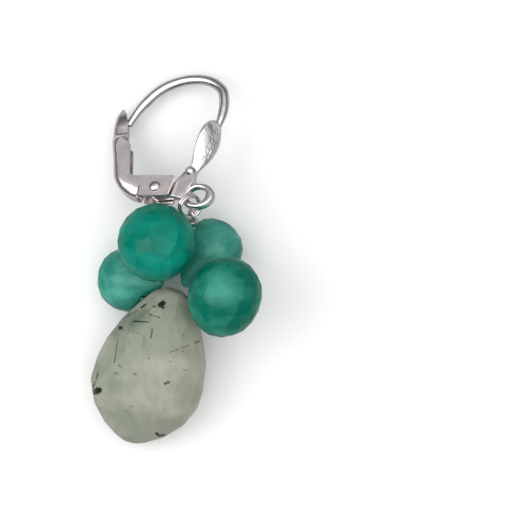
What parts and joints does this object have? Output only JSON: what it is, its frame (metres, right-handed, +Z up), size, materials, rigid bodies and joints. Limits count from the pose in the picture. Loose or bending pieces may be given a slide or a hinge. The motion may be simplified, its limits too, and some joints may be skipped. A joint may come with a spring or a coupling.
{
  "type": "drop earring",
  "caption": "Lever-back drop earring in white metal with a cluster of round green briolettes over a large pale faceted teardrop, lying flat.",
  "frame": {"origin": "on the surface that the earring lies on, under the middle of its bounding box", "axes": "+Z up from that surface, +Y from the teardrop to the ear hook, +X across"},
  "size_m": [0.0204, 0.0442, 0.0157],
  "materials": {
    "white_metal": "polished silver with a bright plated surface, softly worn",
    "green_stone": "polished, cloudy translucent green",
    "pale_stone": "polished, milky grey-green with dark needles inside"
  },
  "bodies": {
    "earring": {"ear_hook": "white_metal", "rivet": "white_metal", "jump_ring": "white_metal", "stone_wire": "white_metal", "crimp": "white_metal", "green_briolette_1": "green_stone", "green_briolette_2": "green_stone", "green_briolette_3": "green_stone", "green_briolette_4": "green_stone", "teardrop": "pale_stone"},
    "lever_arm": {"lever": "white_metal"}
  },
  "joints": [
    {"name": "lever_hinge", "type": "hinge", "parent": "earring", "child": "lever_arm", "pos_m": [-0.00211, 0.00806, 0.0069], "axis": [-0.2804, 0.3805, 0.8812], "range_deg": [0, 45]}
  ]
}
